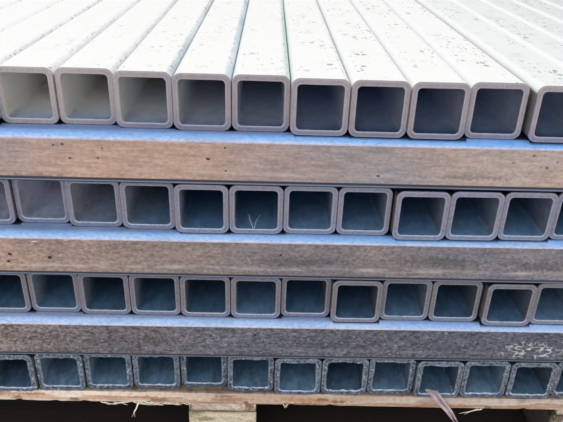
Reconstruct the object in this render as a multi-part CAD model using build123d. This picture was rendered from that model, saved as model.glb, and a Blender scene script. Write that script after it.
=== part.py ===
"""A pallet load of square steel tubes, stacked in crossing layers on a wooden block pallet.

Millimetres, +Z up, cut ends towards -Y. Layers of tubes that lie front to back (rows) take turns with
layers of tubes that lie left to right (cross layers), and the lowest row stands on the pallet's deck.
The origin is on the floor, under the middle of the whole load.
"""

import os

from build123d import *

# Tube section and length
tube_side = 60.0
tube_wall = 6.0
tube_corner_radius = 9.0
tube_bore_radius = 3.0
tube_length = 1200.0

# Each round corner is drawn as a few flats, because the section repeats in every tube of the stack
outer_flat_count = 3
inner_flat_count = 1

# A layer is as wide as its tubes are long, so that layers can cross
tubes_per_layer = round(tube_length / tube_side)

# Gap between neighbouring tubes of each row, bottom row first, and of the cross layers
row_gaps = (1.0, 0.6, 0.4, 0.3)
cross_gap = 1.0

# Some gaps stand wider open, by this much: (row, tube to their left), both counted from 0
wide_gap = 3.0
slight_gap = 2.0
wider_gaps = {(1, 14): wide_gap, (2, 12): slight_gap, (3, 14): wide_gap}

# How far each row lies to the right of the stack's middle, bottom row first
row_shifts = (-8.0, -1.0, -2.0, 2.0)

# How far the tubes of each row are pushed back from the pallet's front, over and over from the left
row_slips = (
    (-3, -1, 1, -5, -3, -4, 0, 3, 5, 9, 2),
    (-1, 3, -6, 0, -1, -8, 5, 2, 2, 0),
    (-1, 1, 1, -8, -6, -4, 13, 8, 5, -2),
    (2, 3, -5, -6, -7, -2, 10, 12, 5),
)

# How far the tubes of the cross layers are pushed to the right, over and over from the front
cross_slips = (0, 4, -3, 2, -5, 1, 3, -2)

# Pallet: its deck reaches this far past the tube ends, and it stands this far right of the stack's middle
deck_margin = 0.0
pallet_shift = -14.0
deck_board_count = 7
deck_board_width = 100.0
deck_board_thickness = 20.0
stringer_board_thickness = 17.0
bottom_board_width = 100.0
bottom_board_thickness = 20.0
centre_block_width = 90.0
outer_block_width = 145.0
block_height = 78.0

# A block is as deep as the bottom board under it is wide
block_depth = bottom_board_width

# Heights of the pallet's layers above the floor
block_base = bottom_board_thickness
stringer_base = block_base + block_height
deck_base = stringer_base + stringer_board_thickness
stack_base = deck_base + deck_board_thickness

pallet_side = tube_length + 2 * deck_margin


def eased_square(side, radius, flat_count):
    """A square face with round corners, each drawn as so many flats."""
    corner = side / 2 - radius
    points = []
    for quarter in range(4):
        centre = Vector(corner, corner).rotate(Axis.Z, 90 * quarter)
        for step in range(flat_count + 1):
            angle = 90 * (quarter + step / flat_count)
            points.append(centre + Vector(radius, 0).rotate(Axis.Z, angle))
    return make_face(Polyline(*points, close=True))


def make_tube():
    """One tube along +Z, an eased square with an eased square bore."""
    outline = eased_square(tube_side, tube_corner_radius, outer_flat_count)
    bore = eased_square(tube_side - 2 * tube_wall, tube_bore_radius, inner_flat_count)
    return extrude(outline - bore, tube_length).solid()


def tube_places(gaps):
    """Middles of the tubes of one layer, side by side with these gaps between them, about zero."""
    width = tubes_per_layer * tube_side + sum(gaps)
    first = (tube_side - width) / 2
    return [first + n * tube_side + sum(gaps[:n]) for n in range(tubes_per_layer)]


def row(number, height):
    """A layer of tubes that lie front to back, their front ends near the pallet's front."""
    tube = Rot(X=-90) * make_tube()
    slips = row_slips[number]
    gaps = [row_gaps[number] + wider_gaps.get((number, n), 0) for n in range(tubes_per_layer - 1)]
    return [
        Pos(row_shifts[number] + x, slips[n % len(slips)] - tube_length / 2, height) * tube
        for n, x in enumerate(tube_places(gaps))
    ]


def cross_layer(height):
    """A layer of tubes that lie left to right, across the row below."""
    tube = Rot(Y=90) * make_tube()
    gaps = [cross_gap] * (tubes_per_layer - 1)
    return [
        Pos(cross_slips[n % len(cross_slips)] - tube_length / 2, y, height) * tube
        for n, y in enumerate(tube_places(gaps))
    ]


def stack():
    """Rows and cross layers in turn, each resting on the one below."""
    layers = {}
    for number in range(len(row_gaps)):
        middle = stack_base + (2 * number + 0.5) * tube_side
        layers[f"row_tubes_{number + 1}"] = row(number, middle)
        if number + 1 < len(row_gaps):
            layers[f"cross_tubes_{number + 1}"] = cross_layer(middle + tube_side)
    return layers


def timber(x_size, y_size, z_size, x, y, base):
    """A sawn piece, its middle at x and y from the pallet's middle and its underside at base."""
    return Pos(pallet_shift + x, y, base + z_size / 2) * Box(x_size, y_size, z_size)


def pallet():
    """Deck boards on stringer boards on blocks on bottom boards, every piece flush at the sides."""
    columns = {
        "left": (outer_block_width, (outer_block_width - pallet_side) / 2),
        "centre": (centre_block_width, 0),
        "right": (outer_block_width, (pallet_side - outer_block_width) / 2),
    }
    lines = {"front": -1, "middle": 0, "back": 1}
    pieces = {}
    for side, (width, x) in columns.items():
        pieces[f"stringer_board_{side}"] = timber(
            width, pallet_side, stringer_board_thickness, x, 0, stringer_base
        )
        for line, way in lines.items():
            y = way * (pallet_side - block_depth) / 2
            pieces[f"block_{line}_{side}"] = timber(width, block_depth, block_height, x, y, block_base)
    for line, way in lines.items():
        y = way * (pallet_side - bottom_board_width) / 2
        pieces[f"bottom_board_{line}"] = timber(
            pallet_side, bottom_board_width, bottom_board_thickness, 0, y, 0
        )
    pitch = (pallet_side - deck_board_width) / (deck_board_count - 1)
    for n in range(deck_board_count):
        y = (deck_board_width - pallet_side) / 2 + n * pitch
        pieces[f"deck_board_{n + 1}"] = timber(
            pallet_side, deck_board_width, deck_board_thickness, 0, y, deck_base
        )
    return {name: [piece] for name, piece in pieces.items()}


nodes = {**pallet(), **stack()}
whole = Compound([piece for pieces in nodes.values() for piece in pieces]).bounding_box()
to_origin = Pos(-whole.center().X, -whole.center().Y, 0)

os.makedirs("parts", exist_ok=True)
for name, pieces in nodes.items():
    export_step(to_origin * Compound(pieces), f"parts/{name}.step")
print(len(nodes), "nodes, whole load", whole.size)
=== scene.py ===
# %% [markdown]
# # A pallet load of square steel tubes
# The real object is a load of mill-finish square tubes. Four rows show their saw-cut ends, and three
# layers between them lie crosswise and show one long side each. It stands on a rough wooden pallet.
# The construction comes from the frame; this lesson dresses it, piece by piece, in metres.

# %% Load the frame
import math

import bpy
import numpy as np
from mathutils import Matrix, Vector


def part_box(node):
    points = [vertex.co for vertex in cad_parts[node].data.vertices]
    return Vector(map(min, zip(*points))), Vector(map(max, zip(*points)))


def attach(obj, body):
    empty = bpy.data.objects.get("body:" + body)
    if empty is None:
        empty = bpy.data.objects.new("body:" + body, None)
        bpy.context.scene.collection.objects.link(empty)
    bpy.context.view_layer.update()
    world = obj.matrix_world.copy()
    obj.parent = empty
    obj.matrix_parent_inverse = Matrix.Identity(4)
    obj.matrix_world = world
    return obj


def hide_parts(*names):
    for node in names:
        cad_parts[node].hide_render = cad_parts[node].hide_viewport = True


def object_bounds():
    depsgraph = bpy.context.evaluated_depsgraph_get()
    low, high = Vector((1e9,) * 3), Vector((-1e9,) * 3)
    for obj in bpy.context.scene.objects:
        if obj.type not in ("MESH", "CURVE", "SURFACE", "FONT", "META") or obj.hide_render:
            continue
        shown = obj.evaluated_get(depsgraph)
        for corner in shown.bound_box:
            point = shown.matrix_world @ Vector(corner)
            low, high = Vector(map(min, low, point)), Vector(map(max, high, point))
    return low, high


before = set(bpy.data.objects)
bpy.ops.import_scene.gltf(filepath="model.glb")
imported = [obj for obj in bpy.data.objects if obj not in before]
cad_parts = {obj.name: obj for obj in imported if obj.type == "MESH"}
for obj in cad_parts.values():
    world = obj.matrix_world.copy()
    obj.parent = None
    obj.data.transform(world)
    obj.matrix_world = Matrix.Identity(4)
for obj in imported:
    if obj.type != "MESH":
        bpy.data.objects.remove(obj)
cad_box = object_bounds()
MM = 0.001
print("frame:", len(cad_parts), "nodes in", [round(float(v), 3) for v in (*cad_box[0], *cad_box[1])])

# %% [markdown]
# ## Camera
# The photograph is taken by hand, close to the load, from a little right of its middle and above its top.
# The place and the angles were found by matching the corners of 39 tube ends and the seams on top, so
# they are plain numbers here. The lens has no shift: the camera itself looks down, and that gives
# the converging sides.

# %% Camera
camera_place = Vector((44.1, -1208.4, 718.1)) * MM
camera_yaw, camera_pitch, camera_roll = math.radians(1.657), math.radians(27.434), math.radians(-1.977)
forward = Vector((math.sin(camera_yaw) * math.cos(camera_pitch),
                  math.cos(camera_yaw) * math.cos(camera_pitch), -math.sin(camera_pitch)))
level_right = Vector((math.cos(camera_yaw), -math.sin(camera_yaw), 0))
level_down = forward.cross(level_right)
right = math.cos(camera_roll) * level_right + math.sin(camera_roll) * level_down
down = math.cos(camera_roll) * level_down - math.sin(camera_roll) * level_right

camera = bpy.data.objects.new("camera", bpy.data.cameras.new("camera"))
camera.data.sensor_width = 36
camera.data.lens = 39.09
camera.data.clip_start = 0.01
turn = Matrix((right, -down, -forward)).transposed().to_4x4()
camera.matrix_world = Matrix.Translation(camera_place) @ turn
bpy.context.scene.collection.objects.link(camera)
bpy.context.scene.camera = camera
print("camera looks", math.degrees(camera_pitch), "degrees down")

# %% [markdown]
# ## Light
# The load stood in open shade under a bright sky. A plain white world does that: every face is lit from
# everywhere, and colours render about as they are written. One wide soft lamp in front, above and to the
# left adds a little shape. The view transform is Standard, so nothing bends the colours afterwards.

# %% World, lamp and colour management
scene = bpy.context.scene
scene.view_settings.view_transform = "Standard"
world = bpy.data.worlds.new("white studio")
scene.world = world
world.use_nodes = True
sky_level = 0.9
world.node_tree.nodes["Background"].inputs["Color"].default_value = (1, 1, 1, 1)
world.node_tree.nodes["Background"].inputs["Strength"].default_value = sky_level

lamp_data = bpy.data.lights.new("soft lamp", "AREA")
lamp_data.shape = "DISK"
lamp_data.size = 3.0
lamp_data.energy = 24
lamp = bpy.data.objects.new("soft lamp", lamp_data)
lamp.location = (-1.2, -2.6, 2.6)
lamp.rotation_euler = (Vector((0, 0, 0.3)) - lamp.location).to_track_quat("-Z", "Y").to_euler()
scene.collection.objects.link(lamp)
print("world at", sky_level, "and a lamp of", lamp_data.energy, "W")

# %% [markdown]
# ## Colours and node trees
# Colours are written as they look on a screen, (red, green, blue) from 0 to 255, because that is how one
# reads them off a picture. Shaders want linear light, so `tone` converts them. A material is a tree of
# small nodes. Making them one by one is long-winded, so the class `Nodes` holds a tree and the few tools
# that fill it: `add` makes any node and fills or links its sockets, and the others are the nodes that are
# used most.

# %% Screen colours
def tone(red, green, blue):
    """A screen colour, 0 to 255, as linear RGBA."""
    linear = [(c / 255 / 12.92 if c < 11 else ((c / 255 + 0.055) / 1.055) ** 2.4) for c in (red, green, blue)]
    return (*linear, 1.0)


def tones(*stops):
    """Stops for a ramp, each written as (place, red, green, blue)."""
    return [(place, tone(*colour)) for place, *colour in stops]


def tone_or_socket(colour):
    """What a colour socket takes: a screen colour is converted, and another socket stays as it is."""
    return tone(*colour) if isinstance(colour, tuple) else colour


print("mid grey is", [round(c, 3) for c in tone(128, 128, 128)])

# %% Node trees
class Nodes:
    """A node tree with the tools that fill it. Each tool gives back what its new node puts out."""

    def __init__(self, tree):
        self.tree = tree

    def link(self, value, socket):
        """A line from one socket to another."""
        self.tree.links.new(value, socket)

    def add(self, kind, inputs=None, **settings):
        """Any node, its settings made and its sockets filled with values or linked to other sockets."""
        made = self.tree.nodes.new(kind)
        for name, value in settings.items():
            setattr(made, name, value)
        for name, value in (inputs or {}).items():
            if isinstance(value, bpy.types.NodeSocket):
                self.link(value, made.inputs[name])
            else:
                made.inputs[name].default_value = value
        return made.outputs

    def calc(self, operation, a, b=0.0, clamp=False):
        """One sum on two numbers or sockets."""
        return self.add("ShaderNodeMath", {0: a, 1: b}, operation=operation, use_clamp=clamp)[0]

    def times(self, first, *others):
        """Masks and strengths multiplied."""
        for other in others:
            first = self.calc("MULTIPLY", first, other)
        return first

    def spread(self, value, low, high, to_low=0.0, to_high=1.0):
        """Stretch low..high to to_low..to_high, and cut off what is outside."""
        return self.add("ShaderNodeMapRange", {0: value, 1: low, 2: high, 3: to_low, 4: to_high})[0]

    def vector(self, operation, a, b):
        """One sum on two vectors."""
        return self.add("ShaderNodeVectorMath", {0: a, 1: b}, operation=operation)[0]

    def noise(self, vector, scale, detail=2.0, roughness=0.5):
        """Cloudy noise: its level first, then its colour."""
        return self.add("ShaderNodeTexNoise",
                        {"Vector": vector, "Scale": scale, "Detail": detail, "Roughness": roughness})

    def mix(self, factor, a, b, way="MIX"):
        """Colour b over colour a; each is a screen colour or a socket."""
        inputs = {0: factor, 6: tone_or_socket(a), 7: tone_or_socket(b)}
        return self.add("ShaderNodeMix", inputs, data_type="RGBA", blend_type=way)[2]

    def ramp(self, factor, stops, way="LINEAR"):
        """A colour ramp through (place, colour) stops."""
        made = self.tree.nodes.new("ShaderNodeValToRGB")
        self.link(factor, made.inputs[0])
        made.color_ramp.interpolation = way
        points = made.color_ramp.elements
        points[0].position, points[0].color = stops[0]
        points[1].position, points[1].color = stops[-1]
        for place, colour in stops[1:-1]:
            points.new(place).color = colour
        return made.outputs["Color"]

    def place(self, group, vector, **values):
        """One copy of a node group, with its own values."""
        return self.add("ShaderNodeGroup", {"Vector": vector, **values}, node_tree=group.tree)


print("tools:", [name for name in vars(Nodes) if not name.startswith("_")])

# %% [markdown]
# ## Shared effects as node groups
# Steel and wood both carry specks, streaks, pits and scratches. Each effect is a node group with named
# inputs, made once and placed in many materials with its own values. A group gives out only a mask from
# 0 to 1, and the material decides what colour, roughness or height the mask means.

# %% Group maker
def new_group(name, outputs, **inputs):
    """An empty group and its sockets; a tuple makes a vector input, a number a plain one."""
    group = bpy.data.node_groups.new(name, "ShaderNodeTree")
    for label, value in {"Vector": (0, 0, 0), **inputs}.items():
        kind = "NodeSocketVector" if isinstance(value, tuple) else "NodeSocketFloat"
        group.interface.new_socket(label, in_out="INPUT", socket_type=kind).default_value = value
    for label in outputs:
        group.interface.new_socket(label, in_out="OUTPUT", socket_type="NodeSocketFloat")
    print("group", name, "takes", ["Vector", *inputs], "and gives", outputs)
    return Nodes(group), group.nodes.new("NodeGroupInput").outputs, group.nodes.new("NodeGroupOutput").inputs


# %% [markdown]
# ### Cloudy patches
# Most marks are noise cut at a level. `Stretch` multiplies the place before the noise is read, so a small
# number along the tube draws the noise out into the lines that rolling leaves.

# %% Patches group
patches, given, out = new_group("patches", ["Mask"], Stretch=(1, 1, 1), Scale=40.0, Detail=4.0, Roughness=0.5,
                                From=0.45, To=0.65)
stretched = patches.vector("MULTIPLY", given["Vector"], given["Stretch"])
cloud = patches.noise(stretched, given["Scale"], given["Detail"], given["Roughness"])[0]
patches.link(patches.spread(cloud, given["From"], given["To"]), out["Mask"])

# %% [markdown]
# ### Pits
# Rust pits and dark holes are round, of mixed sizes and gathered in clusters. Voronoi cells give one dot
# each; the cell's own random colour decides whether its dot is there and how large it is.

# %% Pits group
pits, given, out = new_group("pits", ["Mask"], Stretch=(1, 1, 1), Scale=200.0, Size=0.3, Share=0.2)
stretched = pits.vector("MULTIPLY", given["Vector"], given["Stretch"])
bend = pits.vector("MULTIPLY", pits.noise(stretched, 300.0)["Color"], (0.002, 0.002, 0.002))
moved = pits.vector("ADD", stretched, bend)
cells = pits.add("ShaderNodeTexVoronoi", {"Vector": moved, "Scale": given["Scale"]})
lot = pits.add("ShaderNodeSeparateColor", {0: cells["Color"]})
there = pits.calc("LESS_THAN", lot[0], given["Share"])
reach = pits.times(given["Size"], pits.spread(lot[1], 0.0, 1.0, 0.35, 1.0))
dot = pits.calc("SUBTRACT", 1.0, pits.calc("DIVIDE", cells["Distance"], reach), clamp=True)
pits.link(pits.times(pits.spread(dot, 0.0, 0.45), there), out["Mask"])

# %% [markdown]
# ### Scratches
# A scratch is a thin line. Noise crosses its middle value along thin winding lines, so the distance from
# that value gives them; a second, larger noise keeps them in a few places only.

# %% Scratches group
scratches, given, out = new_group("scratches", ["Mask"], Stretch=(1, 1, 1), Scale=60.0, Width=0.02, Share=0.4)
stretched = scratches.vector("MULTIPLY", given["Vector"], given["Stretch"])
winding = scratches.noise(stretched, given["Scale"], 1.0)[0]
off_line = scratches.calc("ABSOLUTE", scratches.calc("SUBTRACT", winding, 0.5))
line = scratches.calc("SUBTRACT", 1.0, scratches.calc("DIVIDE", off_line, given["Width"]), clamp=True)
where = scratches.noise(given["Vector"], scratches.times(given["Scale"], 0.7), 3.0)[0]
level = scratches.calc("SUBTRACT", 1.0, given["Share"])
kept = scratches.spread(where, level, scratches.calc("ADD", level, 0.05))
scratches.link(scratches.times(line, kept), out["Mask"])

# %% [markdown]
# ## Reading a place off the photograph
# Splinters, holes and scrapes belong where the photograph shows them. A pixel is a ray from the camera,
# and the ray meets the plane that the thing lies in, so one pixel and one plane give one place.

# %% From a pixel to a place
photo_width, photo_height = 563, 422
focal_pixels = camera.data.lens / camera.data.sensor_width * photo_width


def photo_spot(pixel, axis, level):
    """Where the ray through a pixel of the photograph meets the plane at this level of an axis."""
    ray = forward * focal_pixels + right * (pixel[0] - photo_width / 2) + down * (pixel[1] - photo_height / 2)
    return camera_place + ray * ((level - camera_place[axis]) / ray[axis])


cross_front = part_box("cross_tubes_3")[0].y
deck_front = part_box("deck_board_1")[0].y
print("the cross tubes' front is at", round(cross_front, 4), "and the deck's at", round(deck_front, 4))

# %% [markdown]
# ### Dabs
# A dab is one ragged spot at one place: a stain, a rust hole or the middle of a scraped patch. It is an
# ellipsoid whose edge is moved in and out by noise. Several dabs are joined by taking the strongest.

# %% Dab group
dab, given, out = new_group("dab", ["Mask"], Centre=(0, 0, 0), Reach=(0.01, 0.01, 0.01), Ragged=0.3,
                            Scale=250.0)
off = dab.vector("DIVIDE", dab.vector("SUBTRACT", given["Vector"], given["Centre"]), given["Reach"])
far = dab.add("ShaderNodeVectorMath", {0: off}, operation="LENGTH")["Value"]
edge_noise = dab.noise(given["Vector"], given["Scale"], 3.0)[0]
moved = dab.times(dab.calc("SUBTRACT", edge_noise, 0.5), dab.times(given["Ragged"], 4.0))
dab.link(dab.spread(dab.calc("ADD", far, moved), 1.0, 0.55), out["Mask"])


def dabs(coat, wanted, front, ragged=0.3, deep=12 * MM):
    """Dabs of (pixel x, pixel y, half width mm, half height mm) on a front face, each so deep."""
    total = 0.0
    for x, y, half_width, half_height in wanted:
        mask = coat.mask(dab, Centre=photo_spot((x, y), 1, front), Ragged=ragged,
                         Reach=(half_width * MM, deep, half_height * MM))
        total = coat.calc("MAXIMUM", mask, total)
    return total


# %% [markdown]
# ## The tube section
# A welded square tube has round outer corners of about 9 mm and tighter inner ones. Both outlines get
# the same number of points, so that a point on one has its partner on the other, and everything between
# them, such as the cut face, is a plain blend of the two. Extra points close to each arc keep the flats
# flat when the mesh is smooth shaded.

# %% Section outlines
tube_side, tube_wall = 60 * MM, 6 * MM
outer_radius, inner_radius = 9 * MM, 4.5 * MM
arc_guard = 0.4 * MM


def eased_outline(side, radius, arc_steps, side_steps):
    """Points round a square with round corners, counterclockwise from the right side's lower end."""
    corner = side / 2 - radius
    flat = np.linspace(-corner + arc_guard, corner - arc_guard, side_steps + 1)
    sweep = np.radians(np.linspace(0, 90, arc_steps + 1))
    run = [(side / 2, v) for v in flat]
    run += [(corner + radius * math.cos(a), corner + radius * math.sin(a)) for a in sweep]
    quarter = np.array(run)
    turns = [np.array([[0, -1], [1, 0]]), np.array([[-1, 0], [0, -1]]), np.array([[0, 1], [-1, 0]])]
    return np.vstack([quarter] + [quarter @ t.T for t in turns])


print("outline of", len(eased_outline(tube_side, outer_radius, 6, 4)), "points")

# %% [markdown]
# ## One tube as a loft
# A tube's skin is one closed path of rings: from the middle of its length along the outside to the cut,
# across the cut face, down the bore to the other end and back again. Each ring is a blend between the
# two outlines (0 outside, 1 in the bore) at some distance from the cut. Burrs and torn lips are then
# only small changes of those two numbers round the ring, and they die away from the cut.

# %% Tube loft
edge_break = 0.5 * MM
burr_length = 3 * MM
SKIN, CUT, BORE = 0, 1, 2


def end_path(length):
    """(blend, distance from the cut, material, wear) from the middle of the tube over one cut and back."""
    lip = edge_break / tube_wall
    steps = [length / 2, 120 * MM, 30 * MM, 8 * MM, 2 * MM]
    # the last number of each step is the strength of the painted highlight along the edges of the cut
    path = [(0.0, s, SKIN, 0.0) for s in steps] + [(0.0, edge_break, CUT, 0.6)]
    path += [(lip, 0.0, CUT, 1.0), (2.2 * lip, 0.0, CUT, 0.8), (0.35, 0.0, CUT, 0.0), (0.65, 0.0, CUT, 0.0)]
    path += [(1 - 2.2 * lip, 0.0, CUT, 0.8), (1 - lip, 0.0, CUT, 1.0), (1.0, edge_break, BORE, 0.6)]
    return path + [(1.0, s, BORE, 0.0) for s in reversed(steps)]


def tube_rings(rng, outer, inner, length, ends):
    """Rings of one tube: each its points, their blend, its place along, its material, wear and depth."""
    front, back = end_path(length), end_path(length)[::-1][1:-1]
    rings = []
    for path, is_front in ((front, True), (back, False)):
        burr = ends(rng, len(outer))
        for blend, depth, kind, wear in path:
            near = math.exp(-depth / burr_length)
            inward = burr["inner"] * near * blend ** 3 / tube_wall
            outward = burr["outer"] * near * (1 - blend) ** 3 / tube_wall
            blends = blend + inward - outward
            along = depth - (burr["tilt"] + burr["face"](blend)) * near
            section = outer + (inner - outer) * blends[:, None]
            rings.append((section, blends, along if is_front else length - along, kind, wear, depth))
    return rings


print("each cut end has", len(end_path(1.2)), "rings")

# %% [markdown]
# ## Cut ends, clean and torn
# A saw leaves a flat face with a fine burr, a little thicker in a few places. The lowest row was cut
# more roughly: its faces are lumpy, and their lips stand out over the bore. Both kinds are functions that
# give the ripples for one end, so the loft doesn't need to know which cut it is making.

# %% Kinds of cut
def wavy(rng, count, waves, size):
    """A smooth closed ripple of about this size round a ring."""
    turn = np.linspace(0, 2 * math.pi, count, endpoint=False)
    total = np.zeros(count)
    for wave in range(2, waves):
        total += rng.normal() * np.sin(wave * turn + rng.uniform(0, 2 * math.pi)) / math.sqrt(waves)
    return size * total


def sawn_end(rng, count):
    """A clean cut: a thin burr, with a thick spot here and there."""
    spots = np.clip(wavy(rng, count, 30, 1.0) - 1.5, 0, 1) * 0.5 * MM
    return {"inner": spots + np.abs(wavy(rng, count, 20, 0.12 * MM)),
            "outer": wavy(rng, count, 12, 0.05 * MM),
            "tilt": wavy(rng, count, 6, 0.05 * MM), "face": lambda blend: 0}


def torn_end(rng, count):
    """A rough cut: a lumpy face and thick lips that narrow the bore."""
    lumps = [wavy(rng, count, 30, 0.8 * MM) for _ in range(4)]
    lip = np.clip(1.2 * MM + wavy(rng, count, 8, 0.35 * MM) + wavy(rng, count, 34, 0.12 * MM), 0, 2.4 * MM)
    skin = np.clip(wavy(rng, count, 10, 0.12 * MM), -0.3 * MM, 0.3 * MM)

    def face(blend):
        place_in = max(0.0, min(2.999, blend * 3))
        low = int(place_in)
        share = place_in - low
        return lumps[low] * (1 - share) + lumps[low + 1] * share

    return {"inner": lip, "outer": skin, "tilt": wavy(rng, count, 4, 0.3 * MM), "face": face}


print("cut kinds:", sawn_end.__name__, torn_end.__name__)

# %% [markdown]
# ## Where the tubes lie
# The frame knows where each tube lies, so its place is read from the CAD node: tubes are one side wide
# and never touch, and so the next one starts at the first point past the last. The photograph shows a
# few tubes slipped further than the frame has them. These moves stay small, and only the looks take them.

# %% Tubes of a node
# How far tubes lie right of and behind their places in the frame, in mm: a row's own, then single tubes'
row_nudges = {1: (0.8, -2.8), 2: (0.9, -0.5), 3: (0.6, -2.4), 4: (0.2, 0.0)}
tube_nudges = {
    4: {10: (0.4, 0.0), 11: (0.7, 0.0), 12: (1.2, 0.0), 13: (1.8, 0.0), 14: (2.8, 0.0), 15: (5.0, -18.8),
        16: (5.0, 0.0), 17: (5.0, 0.0), 18: (5.0, 0.0), 19: (5.0, 0.0)},
    3: {5: (0.6, 10.7), 6: (0.6, -1.0), 16: (0.6, -16.0)},
    2: {5: (0.9, 10.4), 16: (0.9, -9.1)},
    1: {},
}
tube_gap = 0.05 * MM


def nudge(node_name, number):
    """Shift in metres of one tube of a node."""
    kind, layer = node_name.rsplit("_", 1)
    if kind != "row_tubes":
        return np.zeros(3)
    return np.array((*tube_nudges[int(layer)].get(number, row_nudges[int(layer)]), 0.0)) * MM


def tube_boxes(node_name, across):
    """Lowest and highest corner of each tube of a CAD node, in order along the axis it repeats on."""
    points = np.array([v.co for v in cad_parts[node_name].data.vertices])
    boxes = []
    while len(points):
        start = points[:, across].min()
        inside = points[:, across] < start + tube_side + tube_gap
        shift = nudge(node_name, len(boxes))
        boxes.append((points[inside].min(0) + shift, points[inside].max(0) + shift))
        points = points[~inside]
    return boxes


first_low, first_high = tube_boxes("row_tubes_4", 0)[0]
print("the top row's first tube goes from", first_low.round(3), "to", first_high.round(3))

# %% [markdown]
# ## A layer of tubes as one mesh
# Twenty lofts are joined into one mesh. Faces between rings always follow the same scheme, for tubes,
# boards and splinters alike, so one helper numbers them. A random tone for each tube, and the strength of
# the painted edge highlight, the depth and the place in the section of every point, stay in the mesh as
# attributes for the materials.

# %% Mesh helpers
def ring_faces(rings, count, closed=False):
    """Faces between neighbouring rings of count points; closed joins the last ring to the first."""
    i, j = np.meshgrid(np.arange(rings if closed else rings - 1), np.arange(count), indexing="ij")
    i2, j2 = (i + 1) % rings, (j + 1) % count
    return np.stack([i * count + j, i * count + j2, i2 * count + j2, i2 * count + j], -1).reshape(-1, 4)


def smooth(mesh, sharp_degrees):
    """Smooth shading, with sharp edges where faces meet at more than this angle."""
    mesh.polygons.foreach_set("use_smooth", np.ones(len(mesh.polygons), bool))
    mesh.set_sharp_from_angle(angle=math.radians(sharp_degrees))


def hold(mesh, label, values, kind="FLOAT", field="value"):
    """Keep a value for each point of a mesh."""
    mesh.attributes.new(label, kind, "POINT").data.foreach_set(field, np.asarray(values, np.float32).ravel())


print("two rings of four points make", len(ring_faces(2, 4)), "faces")

# %% [markdown]
# ### Joining the lofts
# Each tube's rings are set in their places, and its faces are numbered on from the last tube's. A face
# that touches the cut takes the cut's material. One mesh for a layer keeps the scene light, and the layer
# then rides on the load as one piece, in the place of its CAD node.

# %% Layer of tubes
def make_layer(name, node_name, along, ends, materials, steps, seed):
    """All the tubes of one layer, joined; along is the axis they lie on, 0 for X and 1 for Y."""
    rng = np.random.default_rng(seed)
    outer = eased_outline(tube_side, outer_radius, *steps)
    inner = eased_outline(tube_side - 2 * tube_wall, inner_radius, *steps)
    across, count = 1 - along, len(outer)
    verts, faces, kinds, points = [], [], [], []
    for low, high in tube_boxes(node_name, across):
        middle = (low + high) / 2
        rings = tube_rings(rng, outer, inner, high[along] - low[along], ends)
        quads = ring_faces(len(rings), count, closed=True)
        faces.append((quads if along == 1 else quads[:, ::-1]) + len(verts) * count)
        ring_kinds = np.array([ring[3] for ring in rings])
        before_cut = np.roll(ring_kinds, -1) == CUT
        kinds.append(np.repeat(np.where(before_cut, CUT, ring_kinds), count))
        shade = rng.uniform()
        for section, blends, place_along, _, wear, depth in rings:
            ring = np.zeros((count, 3))
            ring[:, across] = middle[across] + section[:, 0]
            ring[:, 2] = middle[2] + section[:, 1]
            ring[:, along] = low[along] + place_along
            verts.append(ring)
            shared = np.ones((count, 3)) * (shade, wear, depth)
            points.append(np.column_stack([section / tube_side * 2, blends, shared]))
    mesh = bpy.data.meshes.new(name)
    mesh.from_pydata(np.vstack(verts).tolist(), [], np.vstack(faces).tolist())
    for material in materials:
        mesh.materials.append(material)
    mesh.polygons.foreach_set("material_index", np.concatenate(kinds).astype(np.int32))
    held = np.vstack(points)
    hold(mesh, "section", held[:, :3], "FLOAT_VECTOR", "vector")
    for column, label in enumerate(("tube_shade", "wear", "depth"), 3):
        hold(mesh, label, held[:, column])
    smooth(mesh, 50)
    piece = bpy.data.objects.new(name, mesh)
    scene.collection.objects.link(piece)
    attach(piece, "root")
    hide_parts(node_name)
    print(name, "has", len(faces), "tubes and", len(mesh.polygons), "faces")


# %% [markdown]
# ## A coat for every surface
# Every finish here is built the same way: one base colour, then tint over tint, each as strong as the
# masks multiplied say, like thin washes of paint. The class `Coat` is a tree that knows the colour so far,
# and the place and normal that its masks read. `seal` links the result to the shader as the last step.

# %% Coats
class Coat(Nodes):
    """A material in the making: the colour so far, and the places and normals that its effects read."""

    def __init__(self, name):
        self.material = bpy.data.materials.new(name)
        self.material.use_nodes = True
        super().__init__(self.material.node_tree)
        self.shader = self.tree.nodes["Principled BSDF"]
        coordinates = self.add("ShaderNodeTexCoord")
        self.spot = coordinates["Object"]
        self.x, self.y, self.z = self.add("ShaderNodeSeparateXYZ", {0: self.spot})
        self.facing_right, _, self.facing_up = self.add("ShaderNodeSeparateXYZ", {0: coordinates["Normal"]})
        self.colour = None

    def attribute(self, name, output="Fac"):
        """A value that the mesh holds."""
        return self.add("ShaderNodeAttribute", attribute_name=name)[output]

    def mask(self, group, **values):
        """The mask of one copy of a group."""
        return self.place(group, self.spot, **values)["Mask"]

    def over(self, below, tint, *masks):
        """A tint over a colour, as strong as all its masks multiplied."""
        return self.mix(self.times(*masks), below, tint)

    def paint(self, tint, *masks):
        """A tint over the colour so far."""
        self.colour = self.over(self.colour, tint, *masks)

    def contrast(self, strength, mask, dark, light):
        """Darker where the mask is 0 and lighter where it is 1, keeping the colour so far."""
        shade = self.ramp(mask, tones((0, *dark), (1, *light)))
        self.colour = self.mix(strength, self.colour, shade, "OVERLAY")

    def across(self, left, right, *stops):
        """Colours from left to right between two places, each stop a (share, red, green, blue)."""
        return self.ramp(self.spread(self.x, left, right), tones(*stops))

    def seal(self, roughness, metallic, height, strength, distance):
        """Colour, roughness, metallic and bump on the shader."""
        bump = self.add("ShaderNodeBump", {"Height": height, "Strength": strength, "Distance": distance})
        self.link(self.colour, self.shader.inputs["Base Color"])
        self.link(roughness, self.shader.inputs["Roughness"])
        self.link(bump["Normal"], self.shader.inputs["Normal"])
        self.shader.inputs["Metallic"].default_value = metallic
        self.shader.inputs["Specular IOR Level"].default_value = 0.25
        return self.material


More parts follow.
